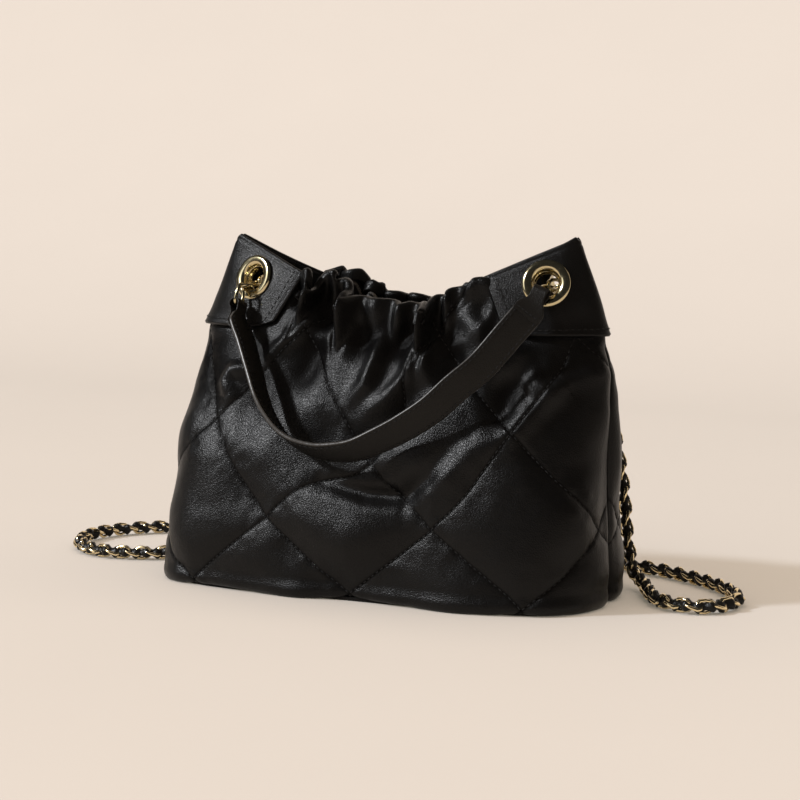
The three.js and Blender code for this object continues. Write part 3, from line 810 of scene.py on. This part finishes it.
# %% Bottom panel, board
def copy_node(node_name, new_name):
    """A merged copy of a frame piece, to be worked on."""
    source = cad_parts[node_name]
    obj = source.copy()
    obj.data = source.data.copy()
    obj.name = new_name
    obj.parent = None
    obj.matrix_world = Matrix.Identity(4)
    bpy.context.collection.objects.link(obj)
    select_only(obj)
    bpy.ops.object.mode_set(mode="EDIT")
    bpy.ops.mesh.select_all(action="SELECT")
    bpy.ops.mesh.remove_doubles(threshold=1e-6)
    bpy.ops.object.mode_set(mode="OBJECT")
    return obj


for node_name, material, round_by in (("bottom_panel", SMOOTH, 0.9), ("base_board", BOARD, 0.4),
                                      ("lining_base", LINING, 0.2)):
    plate = copy_node(node_name, node_name + "_soft")
    apply_modifier(plate, "BEVEL", width=round_by * MM, segments=3, limit_method="ANGLE")
    bpy.ops.object.shade_smooth_by_angle(angle=math.radians(40))
    finish_piece(plate, material, "bag", [node_name])


# %% [markdown]
# Layers inside: the lining, the facing round the rim, the elastic that gathers it and the
# two pockets. They follow the shell and its pleats, each a little further in.

# %% Inner layers
def inner_layer(name, half, f0, f1, z0, top, off, thick, material, nodes, cols, rows,
                slack=0.0):
    """A sheet between two fractions round and two heights, off mm from the shell."""
    f, v = fractions(cols, rows, f0, f1)
    rim = rim_over(half, f)
    z1 = rim - 5.0 if top == "rim" else np.minimum(rim - 3, top)
    z = z0 + (z1 - z0) * v
    theta = even_theta(f, z) + (math.pi if half == BACK else 0)
    base, n = body_point(theta, z), body_normal(theta, z)
    x = base[..., 0] - lean(z)
    out = off + np.minimum(folds(half, x, z, rim), 6) * smooth((z - 118) / 20) * 0.95
    out += slack * SOFT[half](6 + x / 18, z / 16) - slack
    return finish_piece(sheet_mesh(name, base + n * out[..., None], thick), material, "bag",
                        nodes)


for half, tag in ((FRONT, "front"), (BACK, "back")):
    lining = inner_layer("lining_" + tag + "_cloth", half, 0.02, 0.98, 6.5, 140, -8.0, 0.7,
                         LINING, ["lining_" + tag], 90, 50, 0.8)
    inner_layer("hem_facing_" + tag + "_leather", half, 0.03, 0.97, 139.5, "rim", -4.6, 0.8,
                SMOOTH, ["hem_facing_" + tag], 140, 16)
    inner_layer("elastic_" + tag + "_band", half, 0.32, 0.68, 149, "rim", -2.4, 0.6, ELASTIC,
                ["elastic_" + tag], 60, 6)
pocket = inner_layer("slip_pocket_cloth", FRONT, 0.3, 0.7, 40, 102, -9.8, 0.8, LINING,
                     ["slip_pocket"], 50, 30, 0.3)
pouch = inner_layer("zip_pouch_cloth", BACK, 0.3, 0.7, 48, 108, -6.6, 0.8, LINING,
                    ["zip_pocket_pouch"], 40, 24)

# %% [markdown]
# The ears are smooth leather folded round each side of the top: a front flap, the soft fold
# and a back flap in one sheet, with turned edges and a row of stitches 2 mm in. Holes are
# cut for the eyelets with a boolean.

# %% Ear shape
EYELET_X, EYELET_Z = 85.0, 165.6
BARREL_R = 8.0


def ear_inner_x(z):
    """How far from the middle a flap begins: slanting, with a rounded lower corner."""
    low = 66 + 16 * (np.maximum(143 - z, 0) / 4) ** 1.5
    return np.where(z >= 143, 66 - (z - 143) * 0.5385, low)


def ear_top(s):
    return (146.25 + 75.7 * s) / (1 + 0.1683 * s)


def ear_shape(side, off, inner_x, z0, drop, cols=150, rows=56, turned=True):
    """A sheet from the front flap round the side to the back flap, off mm outside the shell."""
    u, v = fractions(cols, rows)
    c = np.abs(1 - 2 * u)
    z = 160 + 0 * u
    for _ in range(8):
        inner = np.arcsin(np.minimum(1, inner_x(z) / level(z)[0]))
        theta = math.pi / 2 - c * (math.pi / 2 - inner)
        high = ear_top(np.sin(theta)) - drop - 2.2 * np.exp(-(c / 0.07) ** 2)
        high = high - np.where(u * side > 0.5 * side, 3.2, 0.0) * smooth(c)
        z = z0 + (high - z0) * v
    theta = np.where(u > 0.5, math.pi - theta, theta) + (math.pi if side < 0 else 0)
    base, n = body_point(theta, z), body_normal(theta, z)
    out = off + 0 * z
    if turned:
        x = np.abs(base[..., 0] - lean(z))
        edge = np.minimum(np.minimum(z - z0, (high - z) * 0.9), (x - inner_x(z)) * 0.9)
        edge = np.where(z < 143, np.minimum(z - z0, (x - inner_x(z)) * 0.5), edge)
        edge = np.maximum(edge, 0)
        out = out + 0.9 - 1.1 * np.exp(-edge / 0.55)
        out -= 0.45 * np.exp(-((edge - 2.2) / 0.7) ** 2)
        out += 0.5 * SOFT[FRONT](6 + base[..., 0] / 22, z / 12)
        out += 0.8 * np.exp(-((z - z0) / 3.5) ** 2)
        out += 1.2 * smooth((edge - 3) / 14) * np.exp(-((c - 0.5) / 0.35) ** 2)
    points = base + n * out[..., None]
    if side > 0:
        pinch_right(points, z)
    return points, n


def eyelet_seat(side, half):
    theta = math.asin(EYELET_X / float(level(EYELET_Z)[0])) * side
    if half > 0:
        theta = math.pi - theta
    at = body_point(np.array(theta), np.array(EYELET_Z))
    return at, body_normal(np.array(theta), np.array(EYELET_Z))


def punch(obj, side):
    for half in (FRONT, BACK):
        at, axis = eyelet_seat(side, half)
        bpy.ops.object.select_all(action="DESELECT")
        turn = Vector(axis).to_track_quat("Z", "Y").to_euler()
        bpy.ops.mesh.primitive_cylinder_add(vertices=40, radius=(BARREL_R + 0.4) * MM,
                                            depth=14 * MM, location=at * MM, rotation=turn)
        drill = bpy.context.object
        apply_modifier(obj, "BOOLEAN", object=drill, operation="DIFFERENCE", solver="EXACT")
        bpy.data.objects.remove(drill)


ear_rows = []
for side, tag in ((-1, "left"), (1, "right")):
    points, normals = ear_shape(side, 1.3, ear_inner_x, 139.0, 0.0)
    ear = sheet_mesh("ear_" + tag + "_leather", points, 1.6)
    punch(ear, side)
    finish_piece(ear, SMOOTH, "bag", ["ear_" + tag])
    facing_points, _ = ear_shape(side, 0.3, lambda z: 72 - (z - 152), 152.0, 1.2, 90, 30, False)
    facing = sheet_mesh("ear_facing_" + tag + "_leather", facing_points, 1.2)
    punch(facing, side)
    finish_piece(facing, SMOOTH, "bag", ["ear_facing_" + tag])
    rows, cols = points.shape[:2]
    inset_v, inset_u = 4, 5
    runs = [[(inset_v, j) for j in range(inset_u, cols - inset_u)],
            [(i, inset_u) for i in range(inset_v, rows - inset_v)],
            [(i, cols - 1 - inset_u) for i in range(inset_v, rows - inset_v)]]
    for run in runs:
        i, j = np.array(run).T
        ear_rows += stitch_places(points[i, j], normals[i, j], 3.3, 0.12)
ear_thread = join_copies("ear_stitches", one_stitch, ear_rows)
finish_piece(ear_thread, THREAD, "bag")
print("ear stitches", len(ear_rows))

# %% [markdown]
# Each eyelet is turned metal: a flat domed ring outside, a barrel through the leather. It
# is drawn as a circle that is extruded and resized from ring to ring, then smoothed.

# %% Eyelets and washers
# Outlines as radius and height, in mm
EYELET_PROFILE = [(7.0, -3.4), (7.9, -3.4), (8.0, 1.6), (12.1, 1.9), (12.5, 2.5), (12.1, 3.3),
                  (10.9, 3.65), (9.4, 3.6), (8.2, 3.3), (7.5, 2.7), (7.1, 1.8), (7.0, 0.6),
                  (6.6, 0.3), (6.6, -1.0), (6.2, -1.4), (6.2, -3.4)]
WASHER_PROFILE = [(8.3, -3.0), (11.0, -3.0), (11.2, -2.6), (11.0, -2.1), (8.3, -2.1)]


def turned_ring(name, profile, segments=56):
    """A ring of that outline: one circle, extruded round the outline and closed on itself."""
    bpy.ops.object.select_all(action="DESELECT")
    r0, z0 = profile[0]
    bpy.ops.mesh.primitive_circle_add(vertices=segments, radius=r0 * MM, location=(0, 0, z0 * MM))
    obj = bpy.context.object
    obj.name = name
    bpy.ops.object.transform_apply(location=True)
    bpy.ops.object.mode_set(mode="EDIT")
    for r1, z1 in profile[1:] + [profile[0]]:
        bpy.ops.mesh.extrude_region_move(TRANSFORM_OT_translate={"value": (0, 0, (z1 - z0) * MM)})
        bpy.ops.transform.resize(value=(r1 / r0, r1 / r0, 1), center_override=(0, 0, 0))
        r0, z0 = r1, z1
    bpy.ops.mesh.select_all(action="SELECT")
    bpy.ops.mesh.remove_doubles(threshold=1e-6)
    bpy.ops.mesh.normals_make_consistent(inside=False)
    bpy.ops.object.mode_set(mode="OBJECT")
    bpy.ops.object.shade_smooth_by_angle(angle=math.radians(50))
    return obj


def seat_on(obj, at, axis, spin=0.0):
    """Puts a piece drawn at the origin, Z up, at its place, in its mesh."""
    turn = Vector(axis).to_track_quat("Z", "Y").to_matrix().to_4x4()
    obj.data.transform(Matrix.Translation(Vector(at) * MM) @ turn @ Matrix.Rotation(spin, 4, "Z"))


for side, tag in ((-1, "left"), (1, "right")):
    for half, face in ((FRONT, "front"), (BACK, "back")):
        at, axis = eyelet_seat(side, half)
        ring = turned_ring(f"eyelet_{face}_{tag}_ring", EYELET_PROFILE)
        seat_on(ring, at + axis * 0.3, axis)
        finish_piece(ring, SHADED_GOLD, "bag", [f"eyelet_{face}_{tag}"])
        washer = turned_ring(f"eyelet_washer_{face}_{tag}_ring", WASHER_PROFILE, 40)
        seat_on(washer, at, axis)
        finish_piece(washer, SHADED_GOLD, "bag", [f"eyelet_washer_{face}_{tag}"])

# %% [markdown]
# The links that run through the ears are the same curb links, a size up, each through the
# next. The one on the left that holds the handle swings with it.

# %% Ear links
LEFT_JOINTS = [(-80, -25.5, 152.9), (-80, -22, 161.5), (-76.5, -6.5, 163), (-76.5, 6.5, 163),
               (-78.5, 20, 161)]
RIGHT_JOINTS = [(94.5, -21, 162), (93.5, -6.5, 164), (93.5, 6.5, 164), (95, 20, 161.5)]
EAR_LINKS = [
    ("handle_link_left", LEFT_JOINTS[0], LEFT_JOINTS[1], (1, 0, 0), "handle"),
    ("front_link_left", LEFT_JOINTS[1], LEFT_JOINTS[2], (0, 0, 1), "bag"),
    ("middle_link_left", LEFT_JOINTS[2], LEFT_JOINTS[3], (1, 0, 0), "bag"),
    ("back_link_left", LEFT_JOINTS[3], LEFT_JOINTS[4], (0, 0, 1), "bag"),
    ("front_link_right", RIGHT_JOINTS[0], RIGHT_JOINTS[1], (0, 0, 1), "bag"),
    ("middle_link_right", RIGHT_JOINTS[1], RIGHT_JOINTS[2], (1, 0, 0), "bag"),
    ("back_link_right", RIGHT_JOINTS[2], RIGHT_JOINTS[3], (0, 0, 1), "bag")]
for name, a, b, face, body in EAR_LINKS:
    a, b = np.array(a, float), np.array(b, float)
    long = np.linalg.norm(b - a) / 2 + 1.4
    piece = wire_link(name + "_wire", long, 3.6, 0.95, 36, 12, 0.12)
    piece.data.transform(Matrix(place_matrix((a + b) / 2, b - a, face).tolist()))
    finish_piece(piece, SHADED_GOLD, body, [name])


# %% [markdown]
# The short handle is a flat strap: two leathers sewn back to back with a painted edge. It
# hangs in a curve and turns over on its way, edge-on at the left and face-on at the right.
# At each end a tongue of the outer leather goes round the link and is stitched down.

# %% Handle route
# Place in mm and turn in degrees
HANDLE = [
    (-80, -26, 151.7, 0), (-77, -30, 143.5, 0), (-68.7, -37.1, 132.6, 0),
    (-59.5, -45.1, 118.4, 2), (-51.5, -51.7, 105.1, 6), (-44.4, -54.5, 95.1, 12),
    (-36.4, -56.5, 87.1, 20), (-27.4, -58, 82.1, 28), (-15.4, -58.5, 79.1, 36),
    (-4.4, -58.5, 79.1, 42), (7.6, -58, 81.1, 47), (20.1, -57, 86.6, 52),
    (32.6, -55.5, 93.1, 57), (47.6, -53.4, 103.1, 61), (59.4, -48.9, 114.5, 65),
    (70.9, -42.8, 125.4, 66), (83, -35.5, 141.5, 68), (91, -29.5, 152.5, 80),
    (94.6, -22.3, 161.8, 90)]
handle_line = spline(HANDLE, 1.0)
HANDLE_LENGTH = float(np.linalg.norm(np.diff(handle_line[:, :3], axis=0), axis=1).sum())
handle_along = np.gradient(handle_line[:, :3], axis=0)
handle_along /= np.linalg.norm(handle_along, axis=1)[:, None]
forward = np.array([0, -1.0, 0]) - handle_along * (-handle_along[:, 1:2])
forward /= np.linalg.norm(forward, axis=1)[:, None]
roll = np.radians(handle_line[:, 3:4])
handle_wide = forward * np.cos(roll) + np.cross(forward, handle_along) * np.sin(roll)
handle_thick = np.cross(handle_wide, handle_along)
STRAP_W, TONGUE_W, STRAP_T = 8.0, 4.2, 1.45
print("handle length, mm", round(HANDLE_LENGTH))


def at_distance(table, d):
    steps = np.linspace(0, HANDLE_LENGTH, len(handle_line))
    return np.stack([np.interp(d, steps, table[:, k]) for k in range(3)], -1)


def strap_point(d, across, lift):
    """A point of the strap: mm along it, fraction across its half width, mm off its middle."""
    d = np.asarray(d, float)
    over = np.minimum(d, 0) + np.maximum(d - HANDLE_LENGTH, 0)
    end = np.minimum(d, HANDLE_LENGTH - d)
    half = TONGUE_W + (STRAP_W - TONGUE_W) * smooth((end - 4) / 8)
    return (at_distance(handle_line[:, :3], d) + at_distance(handle_along, d) * over[..., None]
            + at_distance(handle_thick, d) * np.asarray(lift)[..., None]
            + at_distance(handle_wide, d) * (across * half)[..., None])


# %% Handle strap
def strap_section(points=28):
    """Section of the strap: flat faces, rounded painted edges, a dip under each stitch row."""
    a = np.linspace(0, 2 * math.pi, points, endpoint=False) + math.pi / points
    x = np.sign(np.cos(a)) * np.abs(np.cos(a)) ** 0.32
    y = np.sign(np.sin(a)) * np.abs(np.sin(a)) ** 0.55
    y = y * (1 - 0.16 * np.exp(-((np.abs(x) - 0.76) / 0.07) ** 2)) * (1 - 0.12 * np.abs(x) ** 8)
    return x, y


section_x, section_y = strap_section()
stations = np.linspace(5.5, HANDLE_LENGTH - 5.5, 190)
d = stations[:, None] + 0 * section_x[None, :]
ring = strap_point(d, section_x[None, :] + 0 * d, STRAP_T * section_y[None, :] + 0 * d)
n, m = ring.shape[:2]
strap = loft_rings("handle_strap", ring)
finish_piece(strap, STRAP, "handle", ["handle_strap_backing"])
strap.data.materials.append(EDGE)
for p in strap.data.polygons[:(n - 1) * m]:
    j = p.index % m
    if min(abs(section_x[j]), abs(section_x[(j + 1) % m])) > 0.93:
        p.material_index = 1


# %% Handle ends and stitching
def tongue_run(sign):
    """Distance and lift of the tongue: from its stitched flap, round the wire, into the strap."""
    run = [(15.5, -1.5), (13.0, -1.75), (10.0, -1.8), (6.5, -1.95)]
    run += [(3.0 * math.cos(a), 3.0 * math.sin(a)) for a in np.radians(np.arange(-60, -301, -20))]
    run += [(6.0, 1.3), (9.0, 0.6)]
    run = spline([(p, q, 0) for p, q in run], 0.6)
    d = run[:, 0] if sign > 0 else HANDLE_LENGTH - run[:, 0]
    return d, run[:, 1]


across = np.linspace(-1, 1, 15)
handle_rows = []
for sign, tag in ((1, "left"), (-1, "right")):
    d, lift = tongue_run(sign)
    d, lift = d[:, None] + 0 * across, lift[:, None] + 0 * across
    points = strap_point(d, 0.985 * across[None, :] + 0 * d, lift)
    if sign > 0:
        points = points[::-1]
    tongue = sheet_mesh("handle_end_" + tag, points, 0.0)
    apply_modifier(tongue, "SOLIDIFY", thickness=0.9 * MM, offset=0)
    face_outward(tongue)
    apply_modifier(tongue, "BEVEL", width=0.35 * MM, segments=2, limit_method="ANGLE")
    finish_piece(tongue, STRAP, "handle",
                 ["handle_strap_outer"] if sign > 0 else ())
    where = np.full(11, 13.5 if sign > 0 else HANDLE_LENGTH - 13.5)
    cross = strap_point(where, np.linspace(-0.78, 0.78, 11), np.full(11, -2.27))
    handle_rows += stitch_places(cross, -at_distance(handle_thick, where), 2.6)
for side in (-1, 1):
    for face in (-1, 1):
        d = np.linspace(9, HANDLE_LENGTH - 9, 400)
        line = strap_point(d, np.full(400, 0.76 * side), np.full(400, face * STRAP_T * 0.86))
        handle_rows += stitch_places(line, face * at_distance(handle_thick, d), 3.1)
handle_thread = join_copies("handle_stitches", one_stitch, handle_rows)
finish_piece(handle_thread, THREAD, "handle")
bpy.data.objects.remove(one_stitch)

# %% [markdown]
# Small metal inside the bag keeps the frame's own shape and takes the plated finish. The
# zip's teeth are redrawn, as a bar isn't what they are; the slider and pull are rounded off.

# %% Inside metal
for name in ("snap_stud", "snap_cup", "zip_stop_left", "zip_stop_right"):
    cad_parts[name].data.materials.clear()
    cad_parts[name].data.materials.append(SHADED_GOLD)
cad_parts["zip_tape"].data.materials.clear()
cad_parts["zip_tape"].data.materials.append(TAPE)

low, high = [np.array(c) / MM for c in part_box("zip_teeth")]
bpy.ops.object.select_all(action="DESELECT")
bpy.ops.mesh.primitive_cube_add(size=1)
tooth = bpy.context.object
tooth.scale = (1.0 * MM, 0.9 * MM, 2.4 * MM)
bpy.ops.object.transform_apply(scale=True)
apply_modifier(tooth, "BEVEL", width=0.2 * MM, segments=1)
middle = (low + high) / 2
places = []
for k, x in enumerate(np.arange(low[0] + 1, high[0] - 0.5, 1.1)):
    shift = 0.7 if k % 2 else -0.7
    places.append(place_matrix((x, middle[1], middle[2] + shift), (1, 0, 0), (0, 0, 1)))
teeth = join_copies("zip_teeth_row", tooth, places)
bpy.data.objects.remove(tooth)
finish_piece(teeth, SHADED_GOLD, "bag", ["zip_teeth"])

for node_name, round_by in (("zip_slider", 0.6), ("zip_pull", 0.45)):
    part = copy_node(node_name, node_name + "_metal")
    apply_modifier(part, "BEVEL", width=round_by * MM, segments=3, limit_method="ANGLE")
    bpy.ops.object.shade_smooth_by_angle(angle=math.radians(40))
    finish_piece(part, SHADED_GOLD, node_name, [node_name])

# %% [markdown]
# The set: a pale sweep that rises behind and glows a little by itself, one fairly hard
# light from the upper left that throws the shadow to the right, and a weak panel on the
# left. The sky lights matt things warmly, but polished and glossy ones see it nearly black.

# %% Floor and lights
bpy.ops.object.select_all(action="DESELECT")
bpy.ops.mesh.primitive_plane_add(size=8, location=(0, -1.5, 0))
floor = bpy.context.object
floor.name = "floor"
bpy.ops.object.transform_apply(location=True)
bpy.ops.object.mode_set(mode="EDIT")
bpy.ops.mesh.select_mode(type="EDGE")
bpy.ops.mesh.select_all(action="DESELECT")
bpy.ops.object.mode_set(mode="OBJECT")
for edge in floor.data.edges:
    edge.select = all(floor.data.vertices[v].co.y > 1 for v in edge.vertices)
bpy.ops.object.mode_set(mode="EDIT")
bpy.ops.mesh.extrude_region_move(TRANSFORM_OT_translate={"value": (0, 0, 4)})
bpy.ops.mesh.select_all(action="DESELECT")
bpy.ops.object.mode_set(mode="OBJECT")
for edge in floor.data.edges:
    a, b = [floor.data.vertices[v].co for v in edge.vertices]
    edge.select = a.y > 1 and b.y > 1 and a.z < 1 and b.z < 1
bpy.ops.object.mode_set(mode="EDIT")
bpy.ops.mesh.bevel(offset=1.6, segments=24, affect="EDGES")
bpy.ops.object.mode_set(mode="OBJECT")
floor.data.shade_smooth()

paint, tree, shader = new_material("floor_paint", Roughness=0.9, Specular_IOR_Level=0.1)
coord = tree.nodes.new("ShaderNodeTexCoord")
speck = node(tree, "ShaderNodeTexNoise", Scale=5.0, Detail=2.0)
mix = node(tree, "ShaderNodeMix", data_type="RGBA")
mix.inputs["A"].default_value = (0.236, 0.236, 0.242, 1)
mix.inputs["B"].default_value = (0.244, 0.244, 0.250, 1)
tree.links.new(coord.outputs["Object"], speck.inputs["Vector"])
tree.links.new(speck.outputs["Fac"], mix.inputs["Factor"])
tree.links.new(mix.outputs["Result"], shader.inputs["Base Color"])
shader.inputs["Emission Color"].default_value = (1.0, 0.94, 0.76, 1)
shader.inputs["Emission Strength"].default_value = 0.1
floor.data.materials.append(paint)

world = bpy.data.worlds.new("studio")
bpy.context.scene.world = world
world.use_nodes = True
sky = world.node_tree
backing = sky.nodes["Background"]
ray = sky.nodes.new("ShaderNodeLightPath")
tone = node(sky, "ShaderNodeMix", data_type="RGBA")
tone.inputs["A"].default_value = (2.68, 2.12, 1.62, 1)
tone.inputs["B"].default_value = (0.026, 0.027, 0.029, 1)
sky.links.new(ray.outputs["Is Glossy Ray"], tone.inputs["Factor"])
sky.links.new(tone.outputs["Result"], backing.inputs["Color"])


def area_light(name, place, target, size, power, colour=(1, 1, 1)):
    bpy.ops.object.select_all(action="DESELECT")
    bpy.ops.object.light_add(type="AREA", location=place)
    light = bpy.context.object
    light.name = name
    light.data.shape = "DISK"
    light.data.size = size
    light.data.energy = power
    light.data.color = colour
    aim = Vector(target) - Vector(place)
    light.rotation_euler = aim.to_track_quat("-Z", "Y").to_euler()


bpy.ops.object.select_all(action="DESELECT")
bpy.ops.object.light_add(type="SUN", location=(-1.3, -0.95, 1.2))
sun = bpy.context.object
sun.name = "key"
sun.data.energy = 3.9
sun.data.angle = math.radians(5)
sun.data.color = (0.97, 0.98, 1.0)
sun.rotation_euler = Vector((0.85, 0.6, -0.75)).to_track_quat("-Z", "Y").to_euler()
area_light("left_panel", (-1.1, -1.3, 0.9), (0, 0, 0.1), 0.9, 3.0, (0.95, 0.97, 1))
bpy.context.scene.view_settings.view_transform = "Standard"
